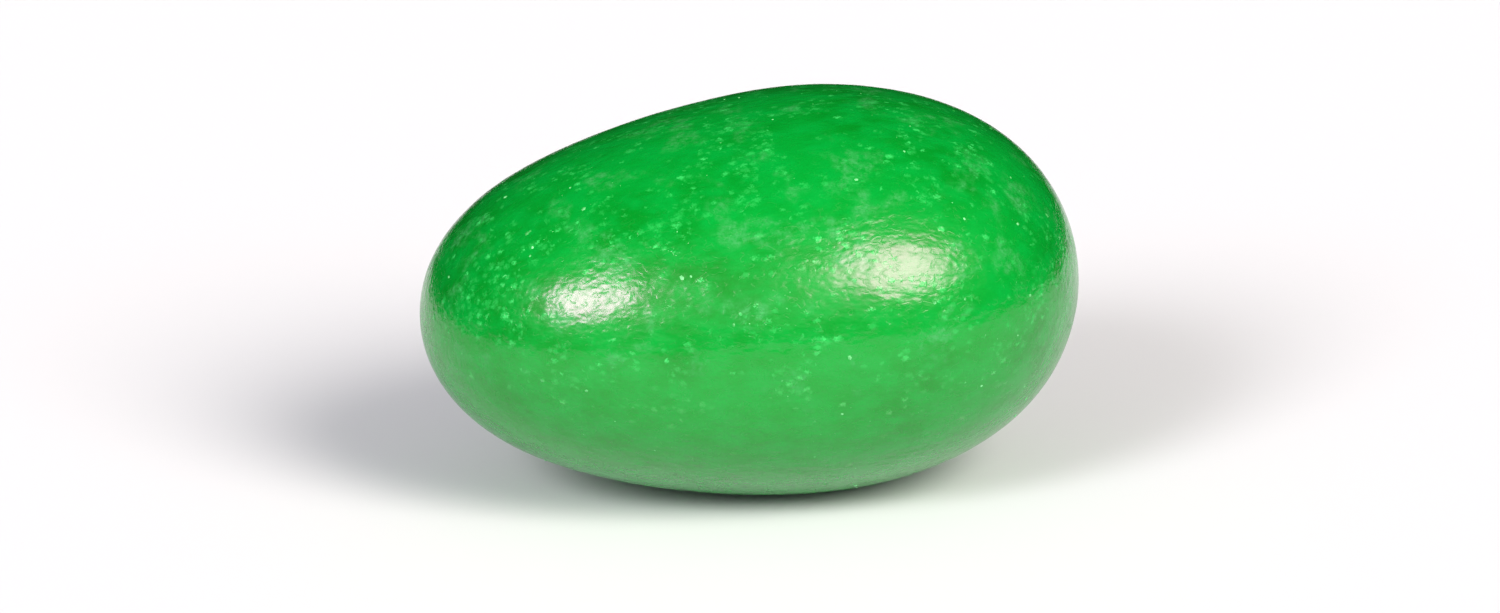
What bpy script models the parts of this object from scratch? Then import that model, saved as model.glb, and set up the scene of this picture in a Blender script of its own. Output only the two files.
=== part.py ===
"""Sugared almond: one panned sweet, a closed solid of sugar coat, lying on its flatter side.

Metres, +Z up. The long axis runs along X, with the blunt end at +X and the narrow end at -X.
The origin is at the centre of the bounding box's base, on the surface that the sweet lies on.
"""

import math

import bmesh
import bpy
from mathutils import Matrix, Vector

MM = 0.001

# Driving dimensions of the coated body, before it is leaned over to rest.
HALF_LENGTH = 14.5 * MM
HALF_WIDTH = 10.15 * MM
HALF_THICKNESS = 8.6 * MM

# Girth along the body, as a share of an ellipsoid's: 1 + TAPER s + FULLNESS s^2 + NARROWING s^3,
# where s runs from -1 at the narrow end to +1 at the blunt end.
TAPER = 0.160
FULLNESS = 0.115
NARROWING = -0.075

# The middle line isn't quite straight: both ends rise a little, and both lean to +Y.
END_RISE = 0.12 * MM
END_SWEEP = 0.15 * MM

# How the sweet lies: narrow end down by this much, on a spot that is worn flat.
REST_LEAN = math.radians(2.4)
SPOT_DEPTH = 0.11 * MM

# The sugar builds up unevenly as the sweets tumble in the pan, in broad swells (+) and flats (-).
# Each is (place along the body from -1 to 1, degrees round it from +Y over the top, reach, rise).
# The reach is in unit lengths, where the body's middle is 2 across.
SWELLS = (
    (-0.66, 100, 0.36, 0.06 * MM),
    (-0.30, 130, 0.34, 0.05 * MM),
    (0.10, 80, 0.40, 0.05 * MM),
    (0.60, 75, 0.34, -0.07 * MM),
    (0.55, 165, 0.34, 0.07 * MM),
    (0.05, 190, 0.36, -0.05 * MM),
    (-0.50, 205, 0.34, 0.05 * MM),
    (-0.20, 350, 0.42, -0.10 * MM),
    (0.45, 330, 0.34, 0.09 * MM),
    (-0.62, 300, 0.34, -0.06 * MM),
    (0.55, 240, 0.30, -0.05 * MM),
    (0.85, 40, 0.30, 0.05 * MM),
)

# The surface is a cube's grid blown up round, with this many squares along each edge.
GRID = 24

SUGAR_GREEN = (0.004, 0.36, 0.035, 1.0)
POLISH_ROUGHNESS = 0.3


def clear_scene():
    """Leave nothing of the startup scene."""
    for thing in list(bpy.data.objects):
        bpy.data.objects.remove(thing)


def sugar_material():
    """The polished green sugar coat."""
    material = bpy.data.materials.new("green_sugar_coat")
    material.use_nodes = True
    shader = material.node_tree.nodes["Principled BSDF"]
    shader.inputs["Base Color"].default_value = SUGAR_GREEN
    shader.inputs["Roughness"].default_value = POLISH_ROUGHNESS
    shader.inputs["Metallic"].default_value = 0.0
    return material


def swell_centre(along, degrees):
    """Unit direction from the middle of the sweet to a swell."""
    ring = math.sqrt(1 - along**2)
    angle = math.radians(degrees)
    return Vector((along, ring * math.cos(angle), ring * math.sin(angle)))


def swell_height(direction):
    """How far the coat stands out or in at a direction, from all the swells together."""
    height = 0.0
    for along, degrees, reach, rise in SWELLS:
        gap = (direction - swell_centre(along, degrees)).length
        height += rise * math.exp(-((gap / reach) ** 2))
    return height


def coat_point(direction):
    """The point of the coat that a unit direction of the round starting shape goes to."""
    s = direction.x
    girth = 1 + TAPER * s + FULLNESS * s**2 + NARROWING * s**3
    bow = s**2 - 1 / 3
    point = Vector((
        HALF_LENGTH * s,
        HALF_WIDTH * direction.y * girth + END_SWEEP * bow,
        HALF_THICKNESS * direction.z * girth + END_RISE * bow,
    ))
    outward = Vector((
        direction.x / HALF_LENGTH,
        direction.y / HALF_WIDTH,
        direction.z / HALF_THICKNESS,
    )).normalized()
    return point + outward * swell_height(direction)


def round_direction(corner):
    """Unit direction for a point of the cube's grid, spaced evenly in angle."""
    return Vector([math.tan(x * math.pi / 4) for x in corner]).normalized()


def rest_on_spot(points):
    """Move the points so that their box's base is centred on the origin, with the rest spot flat."""
    base = min(p.z for p in points) + SPOT_DEPTH
    middle_x = (min(p.x for p in points) + max(p.x for p in points)) / 2
    middle_y = (min(p.y for p in points) + max(p.y for p in points)) / 2
    for p in points:
        p.x -= middle_x
        p.y -= middle_y
        p.z = max(p.z - base, 0.0)


def almond_mesh():
    """The whole sweet as one closed mesh."""
    shape = bmesh.new()
    bmesh.ops.create_cube(shape, size=2.0)
    bmesh.ops.subdivide_edges(shape, edges=shape.edges[:], cuts=GRID - 1, use_grid_fill=True)
    lean = Matrix.Rotation(-REST_LEAN, 3, "Y")
    points = [lean @ coat_point(round_direction(v.co)) for v in shape.verts]
    rest_on_spot(points)
    for vertex, point in zip(shape.verts, points):
        vertex.co = point
    bmesh.ops.recalc_face_normals(shape, faces=shape.faces[:])
    mesh = bpy.data.meshes.new("sugared_almond")
    shape.to_mesh(mesh)
    shape.free()
    mesh.shade_smooth()
    return mesh


def main():
    clear_scene()
    collection = bpy.data.collections.new("sugared_almond_part")
    bpy.context.scene.collection.children.link(collection)
    almond = bpy.data.objects.new("sugared_almond", almond_mesh())
    almond.data.materials.append(sugar_material())
    collection.objects.link(almond)


main()
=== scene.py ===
# Sugared almond: a green panned sweet on a white table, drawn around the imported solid.
# The solid is swapped for a finely modelled coat, with sugar grains stuck in its polish.
import math

import bpy
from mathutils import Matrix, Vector


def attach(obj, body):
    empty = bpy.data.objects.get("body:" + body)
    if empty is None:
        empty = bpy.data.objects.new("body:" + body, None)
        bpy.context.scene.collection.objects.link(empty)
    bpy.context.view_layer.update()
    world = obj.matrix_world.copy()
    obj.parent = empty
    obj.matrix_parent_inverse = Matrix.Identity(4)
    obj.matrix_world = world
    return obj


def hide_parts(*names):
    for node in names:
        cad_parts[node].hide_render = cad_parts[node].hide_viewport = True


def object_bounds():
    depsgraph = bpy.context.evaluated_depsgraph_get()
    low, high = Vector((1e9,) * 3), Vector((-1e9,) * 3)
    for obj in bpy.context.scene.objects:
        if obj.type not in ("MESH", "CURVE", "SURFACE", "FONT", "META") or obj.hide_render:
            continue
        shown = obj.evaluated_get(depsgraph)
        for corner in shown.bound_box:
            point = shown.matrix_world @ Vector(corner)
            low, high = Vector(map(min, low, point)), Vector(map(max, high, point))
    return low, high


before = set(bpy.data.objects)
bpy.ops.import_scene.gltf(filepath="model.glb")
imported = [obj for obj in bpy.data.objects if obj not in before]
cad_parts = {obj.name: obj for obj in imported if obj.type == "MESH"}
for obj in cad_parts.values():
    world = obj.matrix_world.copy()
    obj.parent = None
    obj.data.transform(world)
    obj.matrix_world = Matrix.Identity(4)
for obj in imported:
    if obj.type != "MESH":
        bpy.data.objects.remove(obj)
cadLow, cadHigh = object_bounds()
mm = 0.001
print("frame loaded, box in mm:", [round((high - low) / mm, 2) for low, high in zip(cadLow, cadHigh)])


class Wire:
    # One output of a node. Arithmetic on it adds the node that works it out.
    def __init__(self, graph, socket):
        self.graph = graph
        self.socket = socket

    def __add__(self, value):
        return self.graph.combine("ADD", self, value)

    def __radd__(self, value):
        return self.graph.combine("ADD", value, self)

    def __sub__(self, value):
        return self.graph.combine("SUBTRACT", self, value)

    def __rsub__(self, value):
        return self.graph.combine("SUBTRACT", value, self)

    def __mul__(self, value):
        return self.graph.combine("MULTIPLY", self, value)

    def __rmul__(self, value):
        return self.graph.combine("MULTIPLY", value, self)

    def __truediv__(self, value):
        return self.graph.combine("DIVIDE", self, value)

    def __rtruediv__(self, value):
        return self.graph.combine("DIVIDE", value, self)

    def __pow__(self, value):
        return self.graph.combine("POWER", self, value)

    def __rpow__(self, value):
        return self.graph.combine("POWER", value, self)

    def __neg__(self):
        return self * -1.0

    def isVector(self):
        return self.socket.type in ("VECTOR", "RGBA")

    def other(self, name):
        # Another output of the same node
        return Wire(self.graph, self.socket.node.outputs[name])

    def part(self, axis):
        return self.graph.add("ShaderNodeSeparateXYZ", inputs={0: self}, out=axis)


class Graph:
    # Adds nodes to one tree: a material's, the world's or a Geometry Nodes one.
    def __init__(self, tree):
        self.tree = tree

    def add(self, kind, settings=None, inputs=None, out=0):
        # Any node: its settings first, then the values or wires of its sockets
        node = self.tree.nodes.new(kind)
        for name, value in (settings or {}).items():
            setattr(node, name, value)
        for name, value in (inputs or {}).items():
            if isinstance(value, Wire):
                self.tree.links.new(value.socket, node.inputs[name])
            else:
                node.inputs[name].default_value = value
        return Wire(self, node.outputs[out]) if node.outputs else None

    def combine(self, operation, first, second):
        # Plain numbers through a Math node, vectors and colours through Vector Math
        pair = (first, second)
        if not any(isinstance(x, tuple) or isinstance(x, Wire) and x.isVector() for x in pair):
            return self.maths(operation, *pair)
        spread = [x if isinstance(x, (Wire, tuple)) else (x, x, x) for x in pair]
        return self.vectorMaths(operation, *spread)

    def maths(self, operation, *values):
        return self.add("ShaderNodeMath", {"operation": operation}, dict(enumerate(values)))

    def vectorMaths(self, operation, *values, out=0):
        return self.add("ShaderNodeVectorMath", {"operation": operation}, dict(enumerate(values)), out)

    def vector(self, x, y, z):
        return self.add("ShaderNodeCombineXYZ", inputs={0: x, 1: y, 2: z})

    def step(self, value, low, high):
        # 0 below low, 1 above high, and smooth between
        settings = {"interpolation_type": "SMOOTHSTEP"}
        return self.add("ShaderNodeMapRange", settings, {0: value, 1: low, 2: high})

    def between(self, share, low, high):
        # low where share is 0, and high where it is 1
        return share * (high - low) + low

    def mixColours(self, share, first, second):
        return self.add("ShaderNodeMix", {"data_type": "RGBA"}, {0: share, 6: first, 7: second}, out=2)

    def noise(self, place, size, detail=1.0, roughness=0.5, shift=None, edge=None):
        # size is how wide the largest blobs are, shift moves them, and edge makes soft patches of them
        blobs = self.add("ShaderNodeTexNoise", inputs={
            "Vector": place + shift if shift else place,
            "Scale": 1.0 / size, "Detail": detail, "Roughness": roughness,
        })
        return self.step(blobs, *edge) if edge else blobs


def newTree(name, values):
    # A Geometry Nodes tree with a named input for each value
    tree = bpy.data.node_groups.new(name, "GeometryNodeTree")
    tree.is_modifier = True
    tree.interface.new_socket("Geometry", in_out="INPUT", socket_type="NodeSocketGeometry")
    for label, value in values.items():
        kind = "NodeSocketInt" if isinstance(value, int) else "NodeSocketFloat"
        socket = tree.interface.new_socket(label, in_out="INPUT", socket_type=kind)
        socket.default_value = value
    tree.interface.new_socket("Geometry", in_out="OUTPUT", socket_type="NodeSocketGeometry")
    graph = Graph(tree)
    entry = graph.add("NodeGroupInput")
    return tree, graph, {label: entry.other(label) for label in ("Geometry", *values)}


def endTree(graph, geometry, material):
    real = graph.add("GeometryNodeRealizeInstances", inputs={"Geometry": geometry})
    dressed = graph.add("GeometryNodeSetMaterial", inputs={"Geometry": real, "Material": material})
    graph.add("NodeGroupOutput", inputs={"Geometry": dressed})


def plainMesh(name, startMesh, tree, values):
    # Runs the tree once and keeps what it makes as an ordinary mesh object
    maker = bpy.data.objects.new(name + "Maker", startMesh)
    bpy.context.scene.collection.objects.link(maker)
    modifier = maker.modifiers.new("shape", "NODES")
    modifier.node_group = tree
    sockets = {item.name: item.identifier for item in tree.interface.items_tree if item.in_out == "INPUT"}
    for label, value in values.items():
        modifier[sockets[label]] = value
    bpy.context.view_layer.update()
    evaluated = maker.evaluated_get(bpy.context.evaluated_depsgraph_get())
    mesh = bpy.data.meshes.new_from_object(evaluated)
    maker.modifiers.remove(modifier)
    bpy.data.objects.remove(maker)
    mesh.name = name
    piece = bpy.data.objects.new(name, mesh)
    bpy.context.scene.collection.objects.link(piece)
    return piece


def newMaterial(name):
    material = bpy.data.materials.new(name)
    material.use_nodes = True
    material.node_tree.nodes.clear()
    return material, Graph(material.node_tree)


def finishMaterial(graph, inputs):
    shader = graph.add("ShaderNodeBsdfPrincipled", inputs=inputs)
    graph.add("ShaderNodeOutputMaterial", inputs={"Surface": shader})


sugarCoat = {
    # Measures of the body before it leans over to rest
    "shape": {
        "Half length": 14.5 * mm,
        "Half width": 10.15 * mm,
        "Half thickness": 8.6 * mm,
        "Taper": 0.160,
        "Fullness": 0.115,
        "Narrowing": -0.075,
        "End rise": 0.12 * mm,
        "End sweep": 0.15 * mm,
        "Rest lean": math.radians(2.4),
        "Inset": 0.045 * mm,         # keeps grains and relief inside the solid's box
        "Lump depth": 0.030 * mm,
        "Peel depth": 0.006 * mm,
    },
    "squares": 128,                  # along each edge of the cube that is blown up round
    # Broad swells (+) and flats (-): place along, degrees round from +Y over the top, reach, rise
    "swells": (
        (-0.66, 100, 0.36, 0.06 * mm),
        (-0.30, 130, 0.34, 0.05 * mm),
        (0.10, 80, 0.40, 0.05 * mm),
        (0.60, 75, 0.34, -0.07 * mm),
        (0.55, 165, 0.34, 0.07 * mm),
        (0.05, 190, 0.36, -0.05 * mm),
        (-0.50, 205, 0.34, 0.05 * mm),
        (-0.20, 350, 0.42, -0.10 * mm),
        (0.45, 330, 0.34, 0.09 * mm),
        (-0.62, 300, 0.34, -0.06 * mm),
        (0.55, 240, 0.30, -0.05 * mm),
        (0.85, 40, 0.30, 0.05 * mm),
    ),
    # Every noise in the coat: see Graph.noise
    "noises": {
        "lumps": {"size": 3.1 * mm, "detail": 1.5, "shift": (0.031, 0.0, 0.0)},
        "peel": {"size": 0.8 * mm, "shift": (0.0, 0.023, 0.0)},
        "worn": {"size": 2.2 * mm, "detail": 2.0, "shift": (-0.024, -0.0225, 0.0135),
                 "edge": (0.52, 0.64)},
        "cloud": {"size": 0.9 * mm, "detail": 3.0, "roughness": 0.6, "edge": (0.34, 0.68)},
        "drift": {"size": 3.4 * mm, "detail": 2.0, "shift": (0.002, 0.017, 0.0), "edge": (0.32, 0.62)},
        "haze": {"size": 0.7 * mm, "detail": 4.0, "roughness": 0.68, "shift": (0.0, 0.004, 0.009),
                 "edge": (0.42, 0.66)},
        "hazeSpeckle": {"size": 0.16 * mm, "edge": (0.38, 0.66)},
        "crowd": {"size": 2.4 * mm, "detail": 2.0, "roughness": 0.6, "shift": (-0.0243, -0.0074, 0.0118),
                  "edge": (0.50, 0.60)},
        "ragged": {"size": 0.08 * mm},
        "granules": {"size": 0.30 * mm},
        "cracks": {"size": 0.36 * mm, "shift": (0.0, 0.0, 0.021)},
        "unbroken": {"size": 0.36 * mm, "shift": (0.0, 0.019, 0.0), "edge": (0.42, 0.50)},
    },
    "combed": (0.6, 1.0, 1.0),       # draws a pattern out along the sweet
    "litUpperSide": (4.0 * mm, 10.0 * mm),     # heights where the lamp-lit upper side begins and is full, where the painted glints and sheen go
    # Colours, and how much of each shows
    "deepGreen": (0.0, 0.212, 0.013, 1.0),
    "freshGreen": (0.0, 0.268, 0.023, 1.0),
    "lightGreen": (0.0, 0.305, 0.034, 1.0),
    # Haze: partly sugar dust, partly a painted sheen of the lamps
    "hazeAndSheenGreen": (0.04, 0.33, 0.085, 1.0),
    # Crumbs: pale on the upper side as painted lamp glints on real sugar, dimmer low down
    "crumbAndGlintGreen": (0.042, 0.600, 0.130, 1.0),
    "lowCrumbGreen": (0.060, 0.335, 0.072, 1.0),
    "lowDrift": 0.5,                 # the lower half is more even, and so lighter on average
    "cloudShare": 0.75,
    "hazeAndSheenShare": 0.85,
    "speckleInHaze": (0.5, 1.1),
    "crumbShare": 0.9,
    # Crumbs of bare sugar, one to a cell at most, with their widths as shares of the cell
    "crumbKinds": (
        {"cell": 0.28 * mm, "widest": 0.70, "share": 0.9, "shift": (0.0, 0.0, 0.0)},
        {"cell": 0.50 * mm, "widest": 0.42, "share": 0.6, "shift": (0.0, 0.03, 0.0)},
    ),
    "narrowest": 0.4,                # times the widest
    "crumbRim": (0.15, 1.1),         # where a crumb starts to fade and is gone, in its own widths
    "faintest": 0.28,
    "brightRareness": 4.0,           # the higher, the fewer bright crumbs
    "crumbDrawn": (0.70, 1.0, 1.0),
    "wobbleSize": 0.13 * mm,         # pushes the crumbs out of round
    "wobbleReach": 0.26 * mm,
    "raggedness": 0.5,
    "loneShare": (0.008, 0.088),     # share of the cells with a crumb, low and high on the sweet
    "crowdShare": (0.04, 0.96),      # and what a crowd adds to it
    # The polish
    "ior": 1.53,                     # sugar under a thin wax
    "mirrorTint": (1.0, 0.46, 0.87, 1.0),   # keeps the lamps' reflections creamy over the green
    "haloWeight": 0.09,              # a faint second gloss, for the haze round each reflection
    "haloRoughness": 0.26,
    "roughness": 0.19,
    "wornRoughness": 0.05,
    "crumbRoughness": 0.08,
    "crackRoughness": 0.11,
    "crackWidth": 0.06,
    "crackDepth": 0.0030 * mm,
    "crumbHeight": 0.010 * mm,
    "granuleDepth": 0.032 * mm,
    "granuleStrength": (0.8, 1.3),   # where the polish is whole, and where it is worn
}


def swellSum(g, direction):
    # All the swells together, as a height over the plain egg
    height = 0.0
    for along, degrees, reach, rise in sugarCoat["swells"]:
        ring = math.sqrt(1 - along**2)
        angle = math.radians(degrees)
        centre = (along, ring * math.cos(angle), ring * math.sin(angle))
        gap = g.vectorMaths("DISTANCE", direction, centre, out="Value")
        height = g.maths("EXPONENT", -((gap / reach) ** 2.0)) * rise + height
    return height


def coatTree(material):
    tree, g, given = newTree("almondCoat", sugarCoat["shape"])
    noises = sugarCoat["noises"]

    # A cube's grid from -1 to 1, blown up round with its squares evened out
    side = sugarCoat["squares"] + 1
    cube = g.add("GeometryNodeMeshCube", inputs={
        "Size": (2.0, 2.0, 2.0), "Vertices X": side, "Vertices Y": side, "Vertices Z": side,
    })
    corner = g.add("GeometryNodeInputPosition")
    direction = g.vectorMaths("NORMALIZE", g.vectorMaths("TANGENT", corner * (math.pi / 4)))

    # Egg: thicker towards the blunt end, with its ends a little up and aside
    s = direction.part("X")
    girth = 1.0 + given["Taper"] * s + given["Fullness"] * s**2.0 + given["Narrowing"] * s * s * s
    bow = s * s - 1 / 3
    egg = g.vector(
        given["Half length"] * s,
        given["Half width"] * direction.part("Y") * girth + given["End sweep"] * bow,
        given["Half thickness"] * direction.part("Z") * girth + given["End rise"] * bow,
    )
    halves = g.vector(given["Half length"], given["Half width"], given["Half thickness"])
    outward = g.vectorMaths("NORMALIZE", direction / halves)

    # Relief: broad swells, pan lumps, and the fine peel of the polish
    lumps = (g.noise(egg, **noises["lumps"]) - 0.5) * 2.0
    peel = (g.noise(egg, **noises["peel"]) - 0.5) * 2.0
    relief = swellSum(g, direction) - given["Inset"]
    relief = relief + lumps * given["Lump depth"] + peel * given["Peel depth"]
    body = egg + outward * relief

    # Leaned over to rest, centred over the solid, and worn flat where it meets the table
    turned = g.add("ShaderNodeVectorRotate", {"rotation_type": "Y_AXIS"}, {
        "Vector": body, "Center": (0.0, 0.0, 0.0), "Angle": -given["Rest lean"],
    })
    shaped = g.add("GeometryNodeSetPosition", inputs={"Geometry": cube, "Position": turned})
    box = g.add("GeometryNodeBoundBox", inputs={"Geometry": shaped}, out="Min")
    middle = (box + box.other("Max")) * 0.5
    solidMiddle = (cadLow + cadHigh) * 0.5
    topGap = cadHigh.z - box.other("Max").part("Z") - given["Inset"]
    shift = g.vector(solidMiddle.x - middle.part("X"), solidMiddle.y - middle.part("Y"), topGap)
    moved = g.add("GeometryNodeSetPosition", inputs={"Geometry": shaped, "Offset": shift})
    aboveTable = g.vectorMaths("MAXIMUM", g.add("GeometryNodeInputPosition"), (-1.0, -1.0, cadLow.z))
    resting = g.add("GeometryNodeSetPosition", inputs={"Geometry": moved, "Position": aboveTable})
    endTree(g, g.add("GeometryNodeSetShadeSmooth", inputs={"Geometry": resting}), material)
    return tree


def crumbDots(g, place, kind, crowd, ragged):
    # Small uneven dots in a share of the cells, few of them bright
    cells = g.add("ShaderNodeTexVoronoi", inputs={
        "Vector": place + kind["shift"], "Scale": 1.0 / kind["cell"],
    })
    draw = cells.other("Color")
    chosen = g.maths("LESS_THAN", draw.part("X"), crowd * kind["share"])
    width = g.between(draw.part("Y"), kind["widest"] * sugarCoat["narrowest"], kind["widest"])
    fadeStart, fadeEnd = sugarCoat["crumbRim"]
    dot = 1.0 - g.step(cells.other("Distance") + ragged, width * fadeStart, width * fadeEnd)
    bright = draw.part("Z")**sugarCoat["brightRareness"]
    return chosen * dot * g.between(bright, sugarCoat["faintest"], 1.0)


def coatCrumbsAndGlints(g, place, litUpper):
    # Crumbs of bare sugar, thick in some places and thin in others, and thickest on the upper side, where
    # they also stand for painted glints of the lamps
    look, noises = sugarCoat, sugarCoat["noises"]
    scale = 1.0 / look["wobbleSize"]
    wobble = g.add("ShaderNodeTexNoise", inputs={"Vector": place, "Scale": scale}, out="Color")
    frayed = place * look["crumbDrawn"] + (wobble - (0.5, 0.5, 0.5)) * look["wobbleReach"]
    ragged = (g.noise(place, **noises["ragged"]) - 0.5) * look["raggedness"]
    crowd = g.noise(place, **noises["crowd"]) * g.between(litUpper, *look["crowdShare"])
    crowd = crowd + g.between(litUpper, *look["loneShare"])
    small, large = [crumbDots(g, frayed, kind, crowd, ragged) for kind in look["crumbKinds"]]
    return g.maths("MAXIMUM", small, large)


def coatMaterial():
    look, noises = sugarCoat, sugarCoat["noises"]
    material, g = newMaterial("polishedSugarCoat")
    place = g.add("ShaderNodeTexCoord", out="Object")
    combed = place * look["combed"]
    # The lamp-lit upper side, by height: only there the haze shows and the crumbs are pale and thick, as
    # painted sheen and glints
    litUpper = g.step(place.part("Z"), *look["litUpperSide"])
    crumbsAndGlints = coatCrumbsAndGlints(g, place, litUpper)

    # Greens: slow drift and clouds, and pale haze on the upper side where the polish is worn: partly
    # sugar dust showing through, partly a painted sheen of the lamps on the rough patches
    worn = g.noise(place, **noises["worn"])
    fresh = 1.0 - (1.0 - g.noise(combed, **noises["drift"])) * g.between(litUpper, look["lowDrift"], 1.0)
    green = g.mixColours(fresh, look["deepGreen"], look["freshGreen"])
    cloud = g.noise(combed, **noises["cloud"])
    green = g.mixColours(cloud * look["cloudShare"], green, look["lightGreen"])
    hazeSpeckles = g.between(g.noise(place, **noises["hazeSpeckle"]), *look["speckleInHaze"])
    haze = g.noise(place, **noises["haze"]) * hazeSpeckles * (worn * litUpper * look["hazeAndSheenShare"])
    green = g.mixColours(haze, green, look["hazeAndSheenGreen"])
    # Painted glints: the crumbs are much paler on the lit upper side than the same crumbs low down
    crumbAndGlintColour = g.mixColours(litUpper, look["lowCrumbGreen"], look["crumbAndGlintGreen"])
    colour = g.mixColours(crumbsAndGlints * look["crumbShare"], green, crumbAndGlintColour)

    # Crinkled polish: granules under the wax, with hair cracks broken into short squiggles
    granules = g.noise(combed, **noises["granules"]) * g.between(worn, *look["granuleStrength"])
    cracks = g.maths("ABSOLUTE", g.noise(combed, **noises["cracks"]) - 0.5)
    unbroken = g.noise(place, **noises["unbroken"])
    plateaus = g.maths("MAXIMUM", g.step(cracks, 0.0, look["crackWidth"]), unbroken)
    height = granules * look["granuleDepth"] + plateaus * look["crackDepth"]
    height = height + crumbsAndGlints * look["crumbHeight"]
    dull = (1.0 - plateaus) * look["crackRoughness"]
    dull = dull + worn * look["wornRoughness"] + crumbsAndGlints * look["crumbRoughness"]

    finishMaterial(g, {
        "Base Color": colour,
        "Roughness": dull + look["roughness"],
        "Normal": g.add("ShaderNodeBump", inputs={"Strength": 1.0, "Distance": 1.0, "Height": height}),
        "IOR": look["ior"],
        "Specular Tint": look["mirrorTint"],
        "Coat Weight": look["haloWeight"],
        "Coat Roughness": look["haloRoughness"],
    })
    return material


def makeCoat():
    tree = coatTree(coatMaterial())
    piece = plainMesh("almondCoat", bpy.data.meshes.new("coatStart"), tree, sugarCoat["shape"])
    print("coat:", len(piece.data.polygons), "faces")
    return piece


sugarGrain = {
    "shape": {
        "Grains per area": 0.5e6,    # each square metre, before the thinning by place
        "Smallest": 0.045 * mm,      # half of a grain's length
        "Largest": 0.30 * mm,
        "Sunk share": 0.72,          # how far its middle is pressed in, over half its thickness
        "Seed": 11,
    },
    "crowd": {"size": 1.9 * mm, "detail": 2.0, "roughness": 0.6, "shift": (0.007, 0.0, 0.011),
              "edge": (0.40, 0.68)},
    "thinnest": 0.15,                # share of the grains left outside a crowd
    "aboveTable": (0.3 * mm, 1.0 * mm),     # heights where they begin and are all there
    "largeRareness": 5.0,            # the higher, the fewer large grains
    "sizeSeed": 5,
    "turnSeed": 3,
    "fullTurn": 6.283,
    "flatness": (0.75, 0.5),         # width and thickness over length
    "tone": {"size": 0.5 * mm, "edge": (0.3, 0.7)},
    "waxed": (0.01, 0.28, 0.035, 1.0),
    "bare": (0.24, 0.72, 0.32, 1.0),
    "roughness": 0.5,
    "mirroring": 0.3,
}


def grainMaterial():
    material, g = newMaterial("sugarGrain")
    place = g.add("ShaderNodeTexCoord", out="Object")
    tone = g.noise(place, **sugarGrain["tone"])
    finishMaterial(g, {
        "Base Color": g.mixColours(tone, sugarGrain["waxed"], sugarGrain["bare"]),
        "Roughness": sugarGrain["roughness"],
        "Specular IOR Level": sugarGrain["mirroring"],
    })
    return material


def randomNumber(g, highest, seed):
    # From 0 up to the highest, drawn anew for each grain
    settings = {"data_type": "FLOAT"}
    return g.add("FunctionNodeRandomValue", settings, {2: 0.0, 3: highest, "Seed": seed}, out=1)


def grainTree(material):
    tree, g, given = newTree("sugarGrains", sugarGrain["shape"])
    place = g.add("GeometryNodeInputPosition")
    crowd = g.between(g.noise(place, **sugarGrain["crowd"]), sugarGrain["thinnest"], 1.0)
    offTable = g.step(place.part("Z"), *sugarGrain["aboveTable"])
    scatter = g.add("GeometryNodeDistributePointsOnFaces", inputs={
        "Mesh": given["Geometry"], "Seed": given["Seed"],
        "Density": given["Grains per area"] * crowd * offTable,
    })

    # Most grains are small, and all are pressed into the coat
    width, thickness = sugarGrain["flatness"]
    chance = randomNumber(g, 1.0, sugarGrain["sizeSeed"])**sugarGrain["largeRareness"]
    size = g.between(chance, given["Smallest"], given["Largest"])
    sunk = scatter.other("Normal") * size * given["Sunk share"] * -thickness
    bedded = g.add("GeometryNodeSetPosition", inputs={"Geometry": scatter, "Offset": sunk})
    turn = randomNumber(g, sugarGrain["fullTurn"], sugarGrain["turnSeed"])
    spun = g.add("FunctionNodeRotateEuler", {"space": "LOCAL"}, {
        "Rotation": scatter.other("Rotation"), "Rotate By": g.vector(0.0, 0.0, turn),
    })
    placed = g.add("GeometryNodeInstanceOnPoints", inputs={
        "Points": bedded, "Rotation": spun,
        "Instance": g.add("GeometryNodeMeshIcoSphere", inputs={"Radius": 1.0, "Subdivisions": 1}),
        "Scale": g.vector(size, size * width, size * thickness),
    })
    endTree(g, placed, material)
    return tree


def makeGrains(coatMesh):
    tree = grainTree(grainMaterial())
    piece = plainMesh("sugarGrains", coatMesh.copy(), tree, sugarGrain["shape"])
    print("grains:", len(piece.data.polygons), "faces")
    return piece


whiteTable = {
    "radius": 95 * mm,
    "corners": 96,
    "drop": 0.01 * mm,
    "colour": (0.765, 0.761, 0.825, 1.0),
    "roughness": 0.9,
    "mirroring": 0.0,
}


def makeTable():
    radius, count = whiteTable["radius"], whiteTable["corners"]
    turns = [2 * math.pi * i / count for i in range(count)]
    rim = [(radius * math.cos(t), radius * math.sin(t), -whiteTable["drop"]) for t in turns]
    mesh = bpy.data.meshes.new("whiteTable")
    mesh.from_pydata(rim, [], [tuple(range(count))])
    table = bpy.data.objects.new("whiteTable", mesh)
    bpy.context.scene.collection.objects.link(table)
    material, g = newMaterial("whitePaper")
    finishMaterial(g, {
        "Base Color": whiteTable["colour"],
        "Roughness": whiteTable["roughness"],
        "Specular IOR Level": whiteTable["mirroring"],
    })
    mesh.materials.append(material)


def directionTo(azimuth, elevation):
    # Azimuth is measured from -Y towards +X, as seen from the sweet
    a, e = math.radians(azimuth), math.radians(elevation)
    return Vector((math.sin(a) * math.cos(e), -math.cos(a) * math.cos(e), math.sin(e)))


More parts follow.
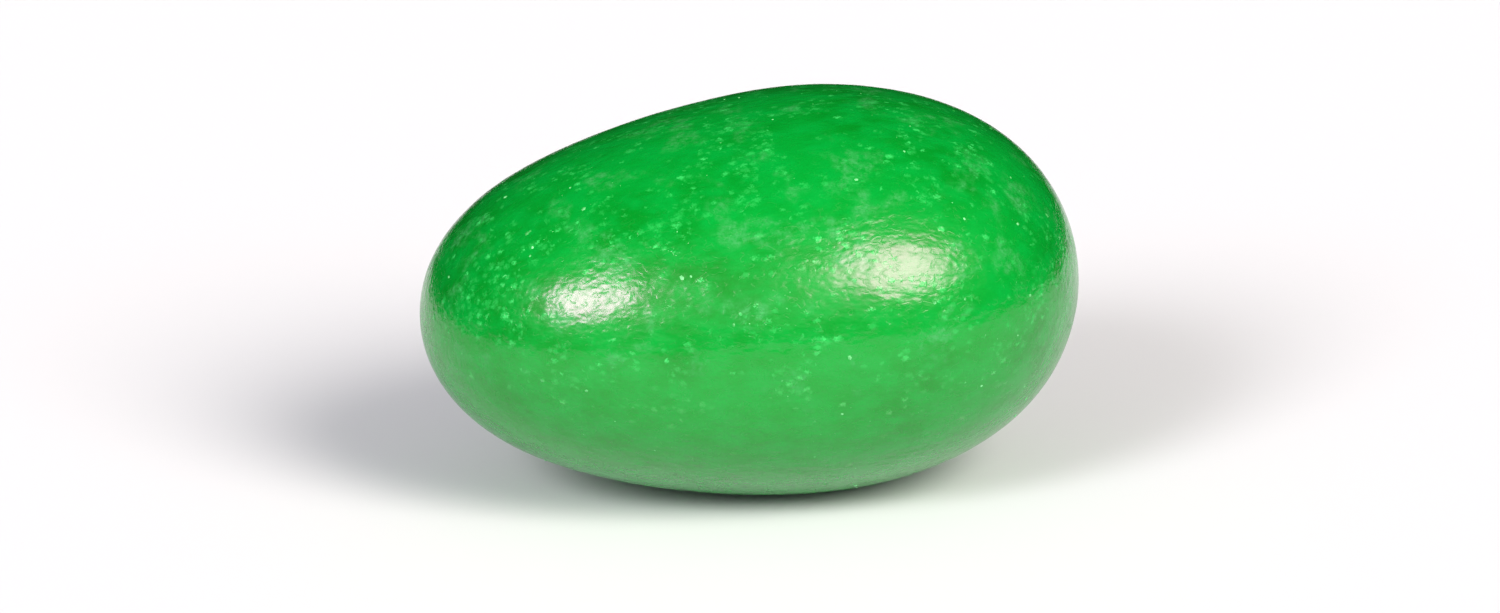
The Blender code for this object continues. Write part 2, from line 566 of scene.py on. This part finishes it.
# The room gives all the light. Two lamps shine through cloths: a cloth has its full brightness within
# the inner angle of its middle and none at the outer one, and spill is the light scattered round it.
whiteRoom = {
    "lamps": {
        "small": {
            "azimuth": -46.8, "elevation": 30.4, "colour": (1.0, 0.98, 0.95),
            "shine": 23.4, "inner": 3.0, "outer": 13.2, "spill": 1.8,
        },
        "large": {
            "azimuth": 27.5, "elevation": 35.2, "colour": (1.0, 0.95, 0.84),
            "shine": 16.0, "inner": 3.0, "outer": 20.5, "spill": 1.8,
        },
    },
    "spillFall": 24.0,
    "glow": 0.56,                    # the lit room between the lamps
    "glowAzimuth": -6.0,
    "glowElevation": 8.0,
    "glowFall": 11.0,
    "glowEdge": (2.0, 9.0),          # degrees above the table where it begins and is full
    "dark": 0.006,                   # unlit room that the gloss mirrors
    "ambient": 0.25,                 # soft light from all round, on matt surfaces
    "ambientLean": 0.05,             # how much more of it comes from the front
    "backdrop": (1.0, 1.0, 1.0, 1.0),
}


def closeness(g, ray, azimuth, elevation):
    # Cosine of the angle between the ray and a direction
    return g.vectorMaths("DOT_PRODUCT", ray, tuple(directionTo(azimuth, elevation)), out="Value")


def fallOff(g, near, fall):
    return g.maths("EXPONENT", (near - 1.0) * fall)


def makeRoom():
    room = whiteRoom
    world = bpy.data.worlds.new("whiteRoom")
    bpy.context.scene.world = world
    world.use_nodes = True
    world.node_tree.nodes.clear()
    g = Graph(world.node_tree)

    # What the gloss mirrors: the dark room, its glow and the two cloths
    ray = g.add("ShaderNodeTexCoord", out="Generated")
    degreesUp = g.maths("ARCSINE", ray.part("Z")) * (180 / math.pi)
    nearGlow = closeness(g, ray, room["glowAzimuth"], room["glowElevation"])
    glow = fallOff(g, nearGlow, room["glowFall"]) * room["glow"]
    dim = glow * g.step(degreesUp, *room["glowEdge"]) + room["dark"]
    mirrored = g.vector(dim, dim, dim)
    for lamp in room["lamps"].values():
        near = closeness(g, ray, lamp["azimuth"], lamp["elevation"])
        outer, inner = math.cos(math.radians(lamp["outer"])), math.cos(math.radians(lamp["inner"]))
        cloth = g.step(near, outer, inner) * lamp["shine"]
        spill = fallOff(g, near, room["spillFall"]) * lamp["spill"]
        mirrored = (cloth + spill) * lamp["colour"] + mirrored

    # Matt surfaces get soft light besides, and the camera sees plain white
    path = g.add("ShaderNodeLightPath", out="Is Camera Ray")
    ambient = nearGlow * room["ambientLean"] + room["ambient"]
    matt = ambient * (1.0 - path.other("Is Glossy Ray"))
    colour = g.mixColours(path, mirrored + matt, room["backdrop"])
    background = g.add("ShaderNodeBackground", inputs={"Color": colour, "Strength": 1.0})
    g.add("ShaderNodeOutputWorld", inputs={"Surface": background})


photoCamera = {
    "azimuth": -14.0,
    "elevation": 17.0,
    "distance": 0.443,
    "lens": 245.0,
    "sensor": 36.0,
    "clipStart": 0.01,
    "aimHeight": 0.46,               # share of the sweet's height that is at the middle of the picture
}


def makeCamera():
    data = bpy.data.cameras.new("camera")
    data.lens = photoCamera["lens"]
    data.sensor_width = photoCamera["sensor"]
    data.clip_start = photoCamera["clipStart"]
    camera = bpy.data.objects.new("camera", data)
    bpy.context.scene.collection.objects.link(camera)
    bpy.context.scene.camera = camera
    aim = (cadLow + cadHigh) * 0.5
    aim.z = cadHigh.z * photoCamera["aimHeight"]
    back = directionTo(photoCamera["azimuth"], photoCamera["elevation"])
    camera.location = aim + back * photoCamera["distance"]
    camera.rotation_euler = (-back).to_track_quat("-Z", "Y").to_euler()


def setView():
    view = bpy.context.scene.view_settings
    view.view_transform = "Standard"
    view.look = "None"
    view.exposure = 0.0
    view.gamma = 1.0


coat = makeCoat()
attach(coat, "root")
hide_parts("sugared_almond")

grains = makeGrains(coat.data)
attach(grains, "root")

makeTable()
makeRoom()
makeCamera()
setView()
print("table, room and camera are in place")
